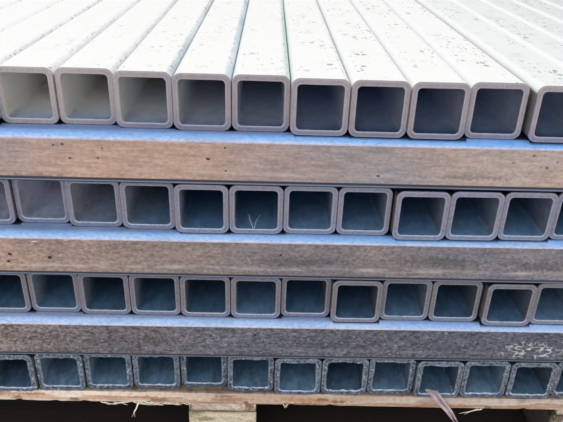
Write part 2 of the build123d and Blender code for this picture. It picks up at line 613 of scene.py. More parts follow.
print("a coat can", [name for name in vars(Coat) if not name.startswith("_")])

# %% [markdown]
# ## Steel skin of the cross tubes
# The long sides are mill finish: a thin grey oxide skin drawn out along the tube, with a tan film of
# rust where rain has dried. A pale streak runs along each front face where the rollers rubbed, and the
# lower tubes are more speckled and scuffed. All of that is painted on the base colour of the front face.

# %% Front face of a cross tube
half_load = round(cad_box[1][0], 3)
cross_floor, cross_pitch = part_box("cross_tubes_1")[0].z, 2 * tube_side


def rubbed_streak(coat):
    """The rubbed streak along a front face, broken up by noise."""
    height_on_tube = coat.calc("MODULO", coat.calc("SUBTRACT", coat.z, cross_floor), cross_pitch)
    band = coat.ramp(coat.calc("DIVIDE", height_on_tube, tube_side),
                     tones((0, 0, 0, 0), (0.235, 0, 0, 0), (0.275, 255, 255, 255), (0.30, 255, 255, 255),
                           (0.35, 0, 0, 0), (1, 0, 0, 0)))
    broken = coat.mask(patches, Stretch=(0.3, 1, 1), Scale=90.0, Detail=4.0, From=0.42, To=0.62)
    return coat.times(band, broken)


def mill_film(coat, looks, drawn, fine):
    """Oxide skin, tan film, smudges and the rubbed streak."""
    speckled = looks["speckled"]
    coat.colour = coat.across(-half_load, half_load, *looks["film"])
    cloud = coat.mask(patches, Stretch=(0.35, 1, 1), Scale=26.0, Detail=3.0, From=0.45, To=0.75)
    coat.paint((216, 176, 145), cloud, looks["golden"])
    coat.contrast(0.24, drawn, (70, 62, 60), (225, 215, 210))
    smudge = coat.mask(patches, Stretch=(0.4, 1, 1), Scale=34.0, Detail=5.0, From=0.42, To=0.68)
    coat.paint((88, 84, 90), smudge, 0.55 * speckled)
    coat.contrast(speckled, fine, (40, 36, 38), (240, 235, 235))
    coat.paint(looks["streak"], rubbed_streak(coat), looks["rubbed"])
    chips = coat.mask(pits, Stretch=(0.7, 1, 1), Scale=300.0, Size=0.4, Share=0.22)
    coat.paint((195, 202, 212), chips, 0.5 * speckled)


print("cross layers reach", half_load, "m to each side, the lowest from", round(cross_floor, 4), "m up")

# %% [markdown]
# ### Pits, stains and scrapes
# Single marks that one notices belong to their places, so they are dabs. The small ones between them are
# only strewn, denser in some clusters. The function gives back how dark and deep a place is, because a
# pit is a dent as well as a colour.

# %% Marks on a cross tube
def front_marks(coat, looks):
    """Paint pits, holes, stains, scratches and scrapes, and give back the mask of what is deep."""
    dots = coat.mask(pits, Scale=130.0, Size=0.16, Share=0.08)
    clusters = coat.mask(patches, Scale=7.0, Detail=2.0, From=0.5, To=0.62)
    pit = coat.mask(pits, Stretch=(0.7, 1, 1), Scale=150.0, Size=0.42, Share=0.6)
    pitted = dabs(coat, looks["pitted"], cross_front)
    holes = dabs(coat, looks["holes"], cross_front, 0.2)
    dark = coat.calc("MAXIMUM", coat.times(dots, clusters), coat.times(pit, pitted))
    coat.paint((71, 52, 48), dark, 0.78)
    coat.paint((46, 32, 32), holes, 0.95)
    coat.paint((69, 65, 71), dabs(coat, looks["stained"], cross_front, 0.7), 0.4)
    scratch = coat.mask(scratches, Stretch=(0.5, 1, 1), Scale=75.0, Width=0.012, Share=0.42)
    coat.paint((218, 210, 214), scratch, looks["scratched"])
    scrape = coat.mask(scratches, Stretch=(0.7, 1, 1.2), Scale=110.0, Width=0.06, Share=0.6)
    coat.paint((225, 225, 233), scrape, dabs(coat, looks["scraped"], cross_front, 0.4), 0.9)
    return coat.calc("MAXIMUM", dark, holes)


print("front marks ready")

# %% [markdown]
# ### Bends and contact shade
# The bends catch the sky, so upward bends are painted with a blue-white reflection of it and downward ones
# with painted shade and a thin reflected band. That is a matter of which way the metal faces, and the coat
# reads it from the normal. Where the row above stands on a cross tube, the top is hidden from the sky and
# painted with shadow. The uneven front ends of that row draw the border, and a stepped ramp holds them, one
# step for each tube.

# %% Bends of a cross tube
ends_from, ends_reach = -640 * MM, 60 * MM


def behind_fronts(coat, node_name):
    """How far a place lies behind the front end of the tube that stands above it, in metres."""
    stops = []
    for low, high in tube_boxes(node_name, 0):
        share = (low[1] - ends_from) / ends_reach
        stops.append(((low[0] + half_load) / (2 * half_load), (share, share, share, 1)))
    fronts = coat.ramp(coat.spread(coat.x, -half_load, half_load), stops, "CONSTANT")
    front_y = coat.calc("ADD", coat.times(fronts, ends_reach), ends_from)
    return coat.calc("SUBTRACT", coat.y, front_y)


def sky_side(coat, looks, row_above):
    """Colour of what faces up: a painted blue-white reflection of the sky, dusty in places, and painted
    shadow under the row above.
    """
    # painted sky reflection on the bends and top: paler as hazy says, bluer to the right as bluer says, with
    # dusty and grey patches and a painted sheen
    up = coat.ramp(coat.spread(coat.facing_up, 0.0, 1.0), tones(
        (0, 210, 193, 206), (0.12, 210, 202, 223), (0.28, 195, 212, 244), (0.45, 147, 193, 244),
        (0.7, 124, 176, 239), (0.92, 118, 168, 233), (1, 113, 145, 200)))
    up = coat.over(up, (225, 229, 244), looks["hazy"])
    to_right = coat.spread(coat.x, 0.02, 0.28, 0.0, looks["bluer"])
    up = coat.over(up, (92, 168, 248), to_right, coat.spread(coat.facing_up, 0.12, 0.4))
    grey = coat.mask(patches, Stretch=(0.5, 1, 1), Scale=420.0, Detail=5.0, Roughness=0.75,
                     From=0.44, To=0.64)
    up = coat.over(up, (90, 124, 178), grey, 0.42)
    dirt = coat.mask(patches, Stretch=(0.15, 1, 1), Scale=150.0, Detail=4.0, From=0.5, To=0.68)
    up = coat.over(up, (126, 147, 185), dirt, 0.3)
    shine = coat.mask(patches, Stretch=(0.25, 1, 1), Scale=60.0, Detail=6.0, Roughness=0.7,
                      From=0.52, To=0.66)
    up = coat.over(up, (233, 242, 255), shine, 0.16)
    # painted shadow on the top where the row above stands on it
    hidden = coat.spread(behind_fronts(coat, row_above), -1.6 * MM, 1.5 * MM)
    return coat.over(up, (23, 29, 50), hidden, coat.spread(coat.facing_up, 0.55, 0.85), 0.93)


def cross_skin(number, looks):
    """Skin of one crosswise layer."""
    coat = Coat(f"cross skin {number}")
    drawn = coat.mask(patches, Stretch=(0.12, 1, 1), Scale=300.0, Detail=4.0, From=0.3, To=0.7)
    fine = coat.mask(patches, Stretch=(0.6, 1, 1), Scale=330.0, Detail=6.0, Roughness=0.8, From=0.38, To=0.62)
    mill_film(coat, looks, drawn, fine)
    dark = front_marks(coat, looks)
    # painted sky reflection and painted shadow on the upward bends and the top
    coat.paint(sky_side(coat, looks, f"row_tubes_{number + 1}"), coat.spread(coat.facing_up, 0.04, 0.14))
    # painted shade on the downward bends, with a thin pale band of painted reflection
    under = coat.ramp(coat.spread(coat.facing_up, 0.0, -1.0), tones(
        (0, 109, 99, 101), (0.16, 61, 59, 69), (0.36, 69, 74, 90), (0.5, 147, 158, 183),
        (0.6, 134, 147, 174), (0.7, 36, 42, 63), (1, 23, 27, 44)))
    coat.paint(under, coat.spread(coat.facing_up, -0.04, -0.14))
    grain_height = coat.calc("ADD", coat.times(fine, 0.3), coat.times(drawn, 0.3))
    height = coat.calc("SUBTRACT", grain_height, dark)
    return coat.seal(coat.spread(fine, 0.0, 1.0, 0.42, 0.62), 0.25, height, 0.35, 0.15 * MM)


print("cross skin ready")

# %% [markdown]
# ## Steel skin of the rows
# Tubes that lie front to back show their tops and, in the gaps, their sides. Only the top row is out in
# the open: its tops are painted with glare, almost white, with dark flecks that grow denser to the right,
# and the glare is a little greyer past the wide gap. Colours that change over the load are ramps along X.

# %% White tops
def crumb_mask(coat):
    """Small dark crumbs of rust."""
    return coat.mask(pits, Stretch=(0.9, 0.75, 1), Scale=210.0, Size=0.46, Share=0.42)


def glared_top(coat):
    """Colour of the top row's tops: painted glare with dark flecks."""
    # painted glare: almost white, a little greyer to the right
    white = coat.across(-0.5, 0.6, (0, 253, 253, 252), (0.725, 253, 253, 252), (0.745, 246, 248, 247),
                        (0.84, 238, 242, 241), (1, 226, 231, 230))
    smears = coat.mask(patches, Stretch=(0.7, 0.7, 1), Scale=55.0, Detail=5.0, From=0.56, To=0.72)
    top = coat.over(white, (196, 202, 203), smears, coat.spread(coat.x, 0.24, 0.36, 0.0, 0.4))
    flecks = coat.mask(pits, Stretch=(0.8, 0.7, 1), Scale=105.0, Size=0.42, Share=0.42)
    scraps = coat.mask(scratches, Stretch=(1.4, 0.7, 1), Scale=70.0, Width=0.02, Share=0.45)
    flecks = coat.calc("MAXIMUM", coat.calc("MAXIMUM", flecks, crumb_mask(coat)), coat.times(scraps, 0.7))
    where = coat.mask(patches, Stretch=(1, 0.6, 1), Scale=16.0, Detail=5.0, Roughness=0.65,
                      From=0.46, To=0.56)
    denser = coat.across(-0.3, 0.5, (0, 0, 0, 0), (0.2, 150, 150, 150), (0.45, 205, 205, 205),
                         (0.6, 240, 240, 240), (1, 235, 235, 235))
    return coat.over(top, (96, 98, 101), flecks, where, denser, 0.8)


print("white tops ready")

# %% [markdown]
# ### Seams of the top row
# The right-hand bend of each tube turns away from the light, so it is painted with a cool, ragged band of
# shade, and the seam below it gets painted shade, a little darker towards the middle of the load. Noise on
# the normal makes the border of the band ragged, and a second, larger noise lets it fade out here and there.

# %% Cool bends
def cool_bend(coat):
    """Colour of the top row's bends, from the white top down into the seam, as painted shade."""
    # painted shade on the right-hand bend: a cool band whose tone changes along the load
    cool = coat.across(-0.3, 0.2, (0, 254, 254, 253), (0.07, 252, 252, 251), (0.12, 222, 226, 222),
                       (0.24, 210, 214, 210), (0.36, 224, 228, 225), (0.48, 207, 219, 225),
                       (0.6, 192, 213, 230), (0.72, 206, 229, 221), (0.84, 246, 248, 247), (1, 250, 251, 251))
    grime = coat.mask(patches, Stretch=(1, 0.5, 1), Scale=260.0, Detail=4.0, From=0.5, To=0.62)
    cool = coat.over(cool, (158, 164, 166), grime, 0.4)
    ragged = coat.mask(patches, Stretch=(1, 0.35, 1), Scale=150.0, Detail=5.0, Roughness=0.7,
                       From=0.35, To=0.65)
    turned = coat.calc("ADD", coat.facing_right, coat.times(coat.calc("SUBTRACT", ragged, 0.5), 0.3))
    past = coat.calc("SUBTRACT", turned, coat.spread(coat.x, -0.1, -0.03, 0.5, 0.22))
    fading = coat.mask(patches, Stretch=(1, 0.5, 1), Scale=12.0, Detail=5.0, From=0.38, To=0.6)
    bend = coat.over((252, 253, 253), cool, coat.spread(past, -0.05, 0.3),
                     coat.spread(fading, 0.0, 1.0, 0.35, 1.0))
    bend = coat.over(bend, (148, 150, 152), crumb_mask(coat), coat.spread(past, -0.25, 0.0),
                     coat.spread(coat.x, -0.28, -0.24, 0.0, 0.7))
    # painted shade in the seam, darkest towards the middle of the load
    seam = coat.across(-0.3, 0.4, (0, 253, 253, 252), (0.06, 250, 250, 249), (0.1, 232, 234, 232),
                       (0.26, 230, 233, 231), (0.34, 196, 212, 212), (0.43, 212, 230, 230),
                       (0.51, 208, 230, 222), (0.58, 232, 238, 234), (0.7, 240, 240, 238), (1, 244, 246, 245))
    return coat.over(bend, seam, coat.spread(coat.facing_up, 0.5, 0.15))


print("cool bends ready")

# %% [markdown]
# ### Sides and the whole skin
# The sides keep the grey oxide skin. Where two tubes stand close, hardly any sky gets between them, so
# these sides are painted dark, except in the top row, whose white neighbours throw light down between the
# tubes, so there they are painted pale, greyer past the wide gap. The upward bends of the lower rows lie
# under the cross tubes, and they and all downward bends are painted with shade.

# %% Row skins
top_row = 4
wide_gap = 270 * MM


def row_skin(number):
    """Skin of the tubes that lie front to back."""
    coat = Coat(f"row skin {number}")
    drawn = coat.mask(patches, Stretch=(1, 0.05, 1), Scale=380.0, Detail=4.0, From=0.3, To=0.7)
    fine = coat.mask(patches, Stretch=(1, 0.5, 1), Scale=700.0, Detail=3.0, From=0.3, To=0.7)
    coat.colour = coat.ramp(drawn, tones((0, 124, 118, 120), (1, 160, 155, 160)))
    rust = coat.mask(patches, Stretch=(1, 0.3, 1), Scale=14.0, Detail=6.0, From=0.5, To=0.75)
    coat.paint((158, 128, 109), rust, 0.4)
    between = coat.spread(coat.calc("ABSOLUTE", coat.x), half_load - 14 * MM, half_load - 20 * MM)
    # painted light on the top row's skin between the outer sides, greyer past the wide gap; painted shade on
    # the lower rows
    if number == top_row:
        coat.paint((237, 242, 242), between, 0.9)
        coat.paint((109, 107, 113), between, coat.spread(coat.x, wide_gap, wide_gap + 5 * MM), 0.9)
    else:
        coat.paint((61, 59, 65), between, 0.62)
    coat.contrast(0.2, fine, (60, 56, 58), (220, 218, 220))
    if number == top_row:
        # painted shade on the top row's bends and painted glare on its tops
        coat.paint(cool_bend(coat), coat.spread(coat.facing_up, 0.05, 0.25))
        coat.paint(glared_top(coat), coat.spread(coat.facing_up, 0.93, 0.995))
    else:
        # painted shadow on the upward bends, which lie under the cross tubes
        coat.paint((30, 34, 52), coat.spread(coat.facing_up, 0.2, 0.6))
    # painted shade on the downward bends
    coat.paint((34, 38, 54), coat.spread(coat.facing_up, -0.15, -0.6))
    height = coat.calc("ADD", fine, drawn)
    return coat.seal(coat.spread(fine, 0.0, 1.0, 0.4, 0.6), 0.25, height, 0.25, 0.1 * MM)


print("row skins ready")

# %% [markdown]
# ## Cut faces
# A saw-cut face is bare, matte and pinkish grey, with fine parallel saw marks, a painted highlight where the
# burr turns over the edge and another on the lower inner edge. Its lower part is painted bluer, as light
# reflected from the bends below, and on the top row a painted haze lightens the left tubes. Rust creeps in at
# the seams. On the torn row the face is grey-green, mottled and chipped instead, so one function makes both
# from a few colours. Where a place lies in the section comes from the mesh, which holds it for every point:
# across, up, and from 0 outside to 1 at the bore.

# %% Cut material
# lip is the colour of the painted highlight on the lower inner edge
saw_steel = {"lip": (223, 233, 252), "seam": (97, 76, 71), "chipped": 0.0}


def cut_face(name, **wanted):
    """Material of the cut ends. Its looks mottled, rusty, chipped, rim_share and lip_share are strengths,
    and left is a tint of painted haze with the place where it is full and the place where it is gone."""
    coat, looks = Coat(name), {**saw_steel, **wanted}
    in_section = coat.add("ShaderNodeSeparateXYZ", {0: coat.attribute("section", "Vector")})
    # painted light: the lower part of each face takes the lower colour, bluer as if lit from the blue bends
    # below
    coat.colour = coat.over(looks["upper"], looks["lower"], coat.spread(in_section[1], -0.3, -0.95))
    # painted haze, lighter over the left tubes
    if "left" in looks:
        tint, full_x, gone_x = looks["left"]
        coat.paint(tint, coat.spread(coat.x, gone_x, full_x), 0.7)
    coat.paint((113, 103, 109), coat.attribute("tube_shade"), 0.22)
    specks = coat.mask(patches, Scale=looks["speck_scale"], Detail=6.0, Roughness=0.7, From=0.34, To=0.66)
    coat.contrast(looks["mottled"], specks, (25, 28, 34), (245, 248, 250))
    saw_marks = coat.mask(patches, Stretch=(1, 1, 0.05), Scale=900.0, Detail=2.0, From=0.3, To=0.7)
    coat.contrast(0.12, saw_marks, (60, 56, 60), (225, 220, 225))
    if looks["chipped"]:
        pale_chips = coat.mask(pits, Scale=300.0, Size=0.5, Share=0.35)
        coat.paint((185, 200, 214), pale_chips, looks["chipped"])
        dark_chips = coat.mask(pits, Stretch=(1.3, 1, 0.8), Scale=210.0, Size=0.5, Share=0.3)
        coat.paint((42, 48, 59), dark_chips, looks["chipped"])
    rust = coat.mask(patches, Scale=24.0, Detail=6.0, From=0.62, To=0.76)
    coat.paint((149, 103, 78), rust, looks["rusty"])
    # painted highlight along both edges of the cut face
    coat.paint(looks["rim"], coat.attribute("wear"), looks["rim_share"])
    # painted highlight on the lower inner edge, above the bore's floor
    floor_edge = coat.times(coat.spread(in_section[2], 0.78, 0.94), coat.spread(in_section[1], -0.62, -0.78))
    coat.paint(looks["lip"], floor_edge, coat.spread(specks, 0.1, 0.6, 0.4, 1.0), looks["lip_share"])
    touching = coat.spread(coat.calc("ABSOLUTE", in_section[0]), 0.95, 1.0)
    upright = coat.spread(coat.calc("ABSOLUTE", in_section[1]), 0.86, 0.6)
    coat.paint(looks["seam"], touching, upright, 0.65)
    height = coat.calc("ADD", specks, coat.times(saw_marks, 0.3))
    roughness = coat.spread(specks, 0.0, 1.0, 0.5, 0.7)
    return coat.seal(roughness, 0.15, height, 0.3 + looks["mottled"], 0.2 * MM)


print("cut faces ready")

# %% [markdown]
# ## Inside the bores
# A bore is blue-grey mill scale with grit on its floor. Its light and shade are painted: it is brighter at
# its mouth, and the wall that faces right is painted lit just behind the mouth. The open sky lies to the
# left, and in the left tubes of the two upper rows it glares along the walls, so these get painted glare that
# fades from the shaded mouth to a pale depth. How deep a place lies behind the cut comes from the mesh.

# %% Bore material
def bore_wall(name, walls, mottled, haze=None, tube_change=0.0):
    """Material inside the tubes. walls are colours with painted light and shade: (floor near, floor deep,
    side near, side deep, side lit at the mouth), haze is painted glare: (floor, side, deep, where it is full,
    where it is gone), and tube_change makes single tubes lighter or darker."""
    coat = Coat(name)
    floor_near, floor_deep, side_near, side_deep, side_lit = walls
    depth = coat.attribute("depth")
    # painted light and shade: each wall goes from its colour at the mouth to its colour in the depth
    fade = coat.spread(depth, 0.0, 90 * MM)
    side = coat.over(side_near, side_deep, fade)
    # painted light on the wall facing right, just behind the mouth
    side = coat.over(side, side_lit, coat.spread(coat.facing_right, 0.3, 0.8),
                     coat.spread(depth, 45 * MM, 12 * MM))
    flat = coat.spread(coat.calc("ABSOLUTE", coat.facing_up), 0.3, 0.9)
    coat.colour = coat.over(side, coat.over(floor_near, floor_deep, fade), flat)
    # painted glare along the walls of the left tubes
    if haze:
        pale_floor, pale_side, pale_deep, full_x, gone_x = haze
        pale = coat.over(coat.over(pale_side, pale_floor, flat), pale_deep, coat.spread(depth, 0.0, 60 * MM))
        coat.paint(pale, coat.spread(coat.x, gone_x, full_x))
    tube = coat.attribute("tube_shade")
    coat.paint((185, 216, 244), coat.spread(tube, 0.0, 0.5, tube_change, 0.0))
    coat.paint((36, 52, 74), coat.spread(tube, 0.4, 1.0, 0.0, 2 * tube_change))
    cloud = coat.mask(patches, Stretch=(1, 0.5, 1), Scale=110.0, Detail=8.0, Roughness=0.7,
                      From=0.36, To=0.68)
    coat.contrast(mottled, cloud, (50, 62, 74), (210, 222, 228))
    grit = coat.mask(pits, Scale=230.0, Size=0.32, Share=0.2)
    strewn = coat.mask(patches, Scale=26.0, Detail=3.0, From=0.54, To=0.66)
    coat.paint((206, 214, 223), grit, strewn, 0.7)
    return coat.seal(coat.spread(cloud, 0.0, 1.0, 0.45, 0.65), 0.0, cloud, 0.2, 0.2 * MM)


print("bores ready")

# %% [markdown]
# ## The cross layers
# Every layer has its own mix: the top cross tube is the most tan, the lowest one is grey and scuffed. A
# film runs from the left end of the load to the right, as (share, red, green, blue). Marks are read off
# the photograph as (pixel x, pixel y, half width mm, half height mm).

# %% Make the cross layers
# hazy and bluer set the painted sky reflection on the bends: how pale and how blue it gets
cross_looks = {
    3: {"film": [(0, 173, 158, 155), (0.27, 166, 154, 155), (0.33, 176, 158, 153), (0.4, 193, 165, 150),
                 (0.47, 189, 163, 150), (0.56, 166, 153, 153), (0.65, 158, 153, 158), (0.72, 190, 174, 168),
                 (1, 181, 168, 164)],
        "holes": [(62, 144, 2.5, 1.2), (53, 145, 1.5, 1.2), (70, 158, 1.6, 1.2), (98, 158, 1.6, 1.2),
                  (102, 148, 1.4, 1.2), (208, 159, 2.8, 1.6), (225, 148, 1.8, 1.2), (378, 176, 2.4, 1.2),
                  (226, 171, 1.6, 1.2)],
        "pitted": [(536, 165, 34, 15), (519, 158, 10, 4)], "stained": [(30, 176, 40, 3), (470, 178, 60, 3)],
        "scraped": [], "scratched": 0.15, "rubbed": 0.35, "streak": (215, 202, 195),
        "golden": 0.3, "speckled": 0.22, "hazy": 0.1, "bluer": 0.6},
    2: {"film": [(0, 200, 170, 153), (0.27, 187, 161, 147), (0.34, 168, 149, 141), (0.42, 154, 140, 135),
                 (0.56, 133, 129, 134), (1, 135, 136, 148)],
        "holes": [(10, 254, 3.2, 2.2), (8.5, 261, 2.4, 2.0), (50, 257.5, 3.6, 2.6), (281, 255, 2.0, 1.4),
                  (52, 236, 5.0, 2.0)],
        "pitted": [(270, 258, 12, 6)], "stained": [(300, 262, 60, 7), (430, 262, 70, 8), (540, 266, 40, 8)],
        "scraped": [(36, 243, 6, 3), (66, 241, 7, 3)], "scratched": 0.2, "rubbed": 0.6,
        "streak": (202, 193, 191), "golden": 0.15, "speckled": 0.42, "hazy": 0.16, "bluer": 0.3},
    1: {"film": [(0, 145, 133, 131), (0.28, 143, 132, 131), (0.36, 122, 119, 124), (0.5, 112, 116, 129),
                 (1, 92, 103, 123)],
        "holes": [(255, 335, 2.5, 2.0)], "pitted": [(463, 351, 12, 5)],
        "stained": [(162, 340, 26, 8), (60, 350, 40, 6), (330, 345, 60, 8), (440, 348, 40, 8)],
        "scraped": [(534, 351, 48, 14)], "scratched": 0.22, "rubbed": 0.3,
        "streak": (158, 160, 168), "golden": 0.06, "speckled": 0.78, "hazy": 0.34, "bluer": 0.2},
}
cross_bore = bore_wall("cross bore", ((101, 116, 130), (63, 84, 109), (126, 126, 130),
                                      (84, 88, 101), (126, 126, 130)), 0.4)
cross_cut = cut_face("cross cut", upper=(166, 155, 161), lower=(158, 149, 158), rim=(195, 189, 197),
                     rim_share=0.35, lip_share=0.2, mottled=0.3, speck_scale=400.0, rusty=0.3)
for number, looks in cross_looks.items():
    materials = [cross_skin(number, looks), cross_cut, cross_bore]
    make_layer(f"cross_layer_{number}", f"cross_tubes_{number}", 0, sawn_end, materials, (6, 3), 30 + number)

# %% [markdown]
# ## The rows
# The rows grow darker and bluer towards the floor. The two upper ones are sawn and glare on the left. The
# lowest one is the torn one, with mottled, chipped faces and thick pale lips.

# %% Make the rows
# lower is the painted bluer light on the lower part of each face, and left is the top row's painted haze
row_cuts = {
    4: cut_face("top row cut", upper=(160, 153, 160), lower=(126, 129, 155), rim=(195, 185, 191),
                rim_share=0.3, lip_share=0.25, mottled=0.16, speck_scale=330.0, rusty=0.12,
                left=((187, 178, 174), -0.16, -0.08)),
    3: cut_face("third row cut", upper=(136, 136, 155), lower=(125, 140, 169), rim=(181, 174, 187),
                rim_share=0.35, lip_share=0.5, mottled=0.28, speck_scale=350.0, rusty=0.35),
    2: cut_face("second row cut", upper=(122, 119, 127), lower=(130, 140, 164), rim=(166, 164, 176),
                rim_share=0.35, lip_share=0.6, mottled=0.35, speck_scale=350.0, rusty=0.4),
    1: cut_face("lowest row cut", upper=(109, 118, 130), lower=(84, 100, 122), rim=(158, 172, 191),
                rim_share=0.28, lip_share=0.55, mottled=1.0, speck_scale=240.0, rusty=0.08, chipped=0.85,
                seam=(46, 48, 57)),
}
# walls and haze are painted light, shade and glare inside the bores
row_bores = {
    4: {"walls": ((25, 52, 88), (193, 210, 242), (97, 101, 118), (210, 214, 235), (113, 118, 134)),
        "haze": ((132, 148, 178), (214, 206, 190), (255, 253, 248), -0.18, 0.12),
        "mottled": 0.26, "tube_change": 0.02},
    3: {"walls": ((84, 118, 151), (92, 130, 172), (97, 101, 113), (82, 97, 120), (134, 143, 158)),
        "haze": ((128, 140, 164), (158, 149, 152), (232, 230, 242), -0.2, -0.055),
        "mottled": 0.34, "tube_change": 0.1},
    2: {"walls": ((86, 116, 147), (76, 111, 147), (92, 97, 109), (71, 88, 109), (128, 136, 147)),
        "mottled": 0.4, "tube_change": 0.16},
    1: {"walls": ((103, 134, 162), (74, 105, 134), (84, 94, 109), (65, 84, 103), (109, 122, 134)),
        "mottled": 0.5, "tube_change": 0.2},
}
for number, cut in row_cuts.items():
    materials = [row_skin(number), cut, bore_wall(f"row bore {number}", **row_bores[number])]
    kind, steps = (torn_end, (6, 12)) if number == 1 else (sawn_end, (6, 6))
    make_layer(f"row_{number}", f"row_tubes_{number}", 1, kind, materials, steps, 40 + number)

# %% [markdown]
# ## Sawn timber
# Pallet wood is rough sawn softwood: the faces wander a little, the arrises are broken and the ends are
# torn. Each board is a loft again, a rounded rectangle that is repeated along the grain with small
# ripples, closed by a flat end. The front deck board gets nicks along its lower edge.

# %% Board section
def board_section(width, height, radius, step):
    """Points round a board's section, about its middle, with broken corners and a point every step."""
    def run(size):
        count = max(2, round((size - 2 * radius) / step))
        return np.linspace(-size / 2 + radius, size / 2 - radius, count + 1)

    half_round = np.array([(v, -height / 2) for v in run(width)] + [(width / 2, v) for v in run(height)])
    return np.vstack([half_round, -half_round])


print("a deck board's section has", len(board_section(0.1, 0.02, 1.2 * MM, 6 * MM)), "points")

# %% Timber loft
sawn_corner, section_step = 1.2 * MM, 6 * MM
end_margin, end_shrink, end_tear = 3 * MM, 1.0 * MM, 0.3 * MM


def make_timber(node_name, along, material, seed, rough=0.25 * MM, nicks=(), skew=0.0):
    """A sawn piece for a CAD node; nicks are (place, width, depth), skew moves its far end sideways."""
    rng = np.random.default_rng(seed)
    low, high = (np.array(corner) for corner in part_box(node_name))
    across = 1 - along
    middle, size = (low + high) / 2, high - low
    section = board_section(size[across], size[2], sawn_corner, section_step)
    count = len(section)
    ring_step = 5 * MM if nicks else 12 * MM
    inner_stops = np.arange(low[along] + end_margin, high[along] - end_margin, ring_step)
    stops = np.concatenate([[low[along], low[along] + end_shrink], inner_stops,
                            [high[along] - end_shrink, high[along]]])
    outward = np.sign(section) * (np.abs(np.abs(section) - np.array([size[across], size[2]]) / 2) < 1e-6)
    lower_front = (section[:, 0] < -size[across] / 2 + end_margin) & (section[:, 1] < 0)
    sideways, sunk, _, _ = (wavy(rng, len(stops), 14, rough) for _ in range(4))
    rings = []
    for n, stop in enumerate(stops):
        at_end = n in (0, len(stops) - 1)
        shrink = end_shrink if at_end else 0.0
        ring = section - outward * (shrink + np.abs(rng.normal(0, rough * 0.35, (count, 1))))
        ring[:, 0] += sideways[n] * outward[:, 0]
        ring[:, 1] -= np.abs(sunk[n]) * (outward[:, 1] > 0)
        for spot, width, depth in nicks:
            reach = max(0.0, 1 - abs(stop - spot) / width)
            ring[lower_front, 1] += reach * depth * rng.uniform(0.7, 1.0)
        full = np.zeros((count, 3))
        full[:, across] = middle[across] + ring[:, 0] + skew * (stop - low[along]) / size[along]
        full[:, 2] = middle[2] + ring[:, 1]
        full[:, along] = stop + rng.normal(0, end_tear if at_end else 0.0, count)
        rings.append(full)
    ends = np.arange(count)[::-1], np.arange(count) + (len(rings) - 1) * count
    faces = [*ring_faces(len(rings), count), *ends]
    faces = [(face if along == 0 else face[::-1]).tolist() for face in faces]
    mesh = bpy.data.meshes.new(node_name)
    mesh.from_pydata(np.vstack(rings).tolist(), [], faces)
    mesh.materials.append(material)
    hold(mesh, "board", np.full(len(mesh.vertices), rng.uniform(0, 1)))
    smooth(mesh, 35)
    piece = bpy.data.objects.new("sawn_" + node_name, mesh)
    scene.collection.objects.link(piece)
    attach(piece, "root")
    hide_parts(node_name)


print("timber loft ready")

# %% [markdown]
# ### Grain
# A trunk is a stack of cylinders, so growth rings are rings round the pith, bent by noise. Read on the
# side of a board they draw long lines, and on its end they draw arcs, with no extra work. Fibres are
# noise drawn out along the board. The `Shift` input moves every board to its own part of the trunk.

# %% Grain group
grain, given, out = new_group("grain", ["Rings", "Fibre", "Knots"], Shift=0.0, Rings=30.0, Bend=3.0,
                              Fibre=500.0)
jumps = (31.0, 0.21, 0.13)
jump = grain.add("ShaderNodeCombineXYZ", {n: grain.times(given["Shift"], far) for n, far in enumerate(jumps)})
shifted = grain.vector("ADD", given["Vector"], jump[0])
wave = grain.add("ShaderNodeTexWave",
                 {"Vector": grain.vector("MULTIPLY", shifted, (0.08, 1, 1)), "Scale": given["Rings"],
                  "Distortion": given["Bend"], "Detail": 3.0, "Detail Scale": 1.6},
                 wave_type="RINGS", rings_direction="X", wave_profile="SAW")
fibre = grain.noise(grain.vector("MULTIPLY", shifted, (0.04, 1, 1)), given["Fibre"], 4.0)[0]
knot_cells = grain.add("ShaderNodeTexVoronoi",
                       {"Vector": grain.vector("MULTIPLY", shifted, (0.55, 1, 1)), "Scale": 9.0})
knot_lot = grain.add("ShaderNodeSeparateColor", {0: knot_cells["Color"]})[0]
knots = grain.times(grain.calc("LESS_THAN", knot_lot, 0.35), grain.spread(knot_cells["Distance"], 0.16, 0.06))
grain.link(wave["Fac"], out["Rings"])
grain.link(grain.spread(fibre, 0.3, 0.7), out["Fibre"])
grain.link(knots, out["Knots"])

# %% [markdown]
# ### Wood as a coat
# Fresh wood is pale between the rings and darker on them. Years outside add stains and grime. Every top
# is greyer and darker, partly from weathering and partly as painted shade under what lies on it, and a line
# of painted shade lies in the joint under the stringers. Behind the pallet's four sides the stringers, blocks
# and bottom boards are painted with shade. Stains that the photograph shows at one place are dabs, and the
# front board has a painted wash of light, a colour that it is multiplied by from left to right.

# %% Wood material
pallet_low, pallet_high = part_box("bottom_board_front")[0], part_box("bottom_board_back")[1]
pallet_middle, pallet_half = (pallet_low + pallet_high) / 2, (pallet_high - pallet_low) / 2
stringer_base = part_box("stringer_board_left")[0].z


def joint_mask(coat, grime):
    """The line of painted shade in the joint under the stringers."""
    off_joint = coat.calc("ABSOLUTE", coat.calc("SUBTRACT", coat.z, stringer_base))
    return coat.spread(coat.calc("ADD", off_joint, coat.times(grime, 3 * MM)), 5.5 * MM, 1.5 * MM)


def inside_mask(coat):
    """What lies behind the pallet's four sides."""
    depths = []
    for place, middle, half in zip((coat.x, coat.y), pallet_middle, pallet_half):
        off_middle = coat.calc("ABSOLUTE", coat.calc("SUBTRACT", place, middle))
        depths.append(coat.calc("SUBTRACT", half, off_middle))
    return coat.spread(coat.calc("MINIMUM", *depths), 3 * MM, 14 * MM)


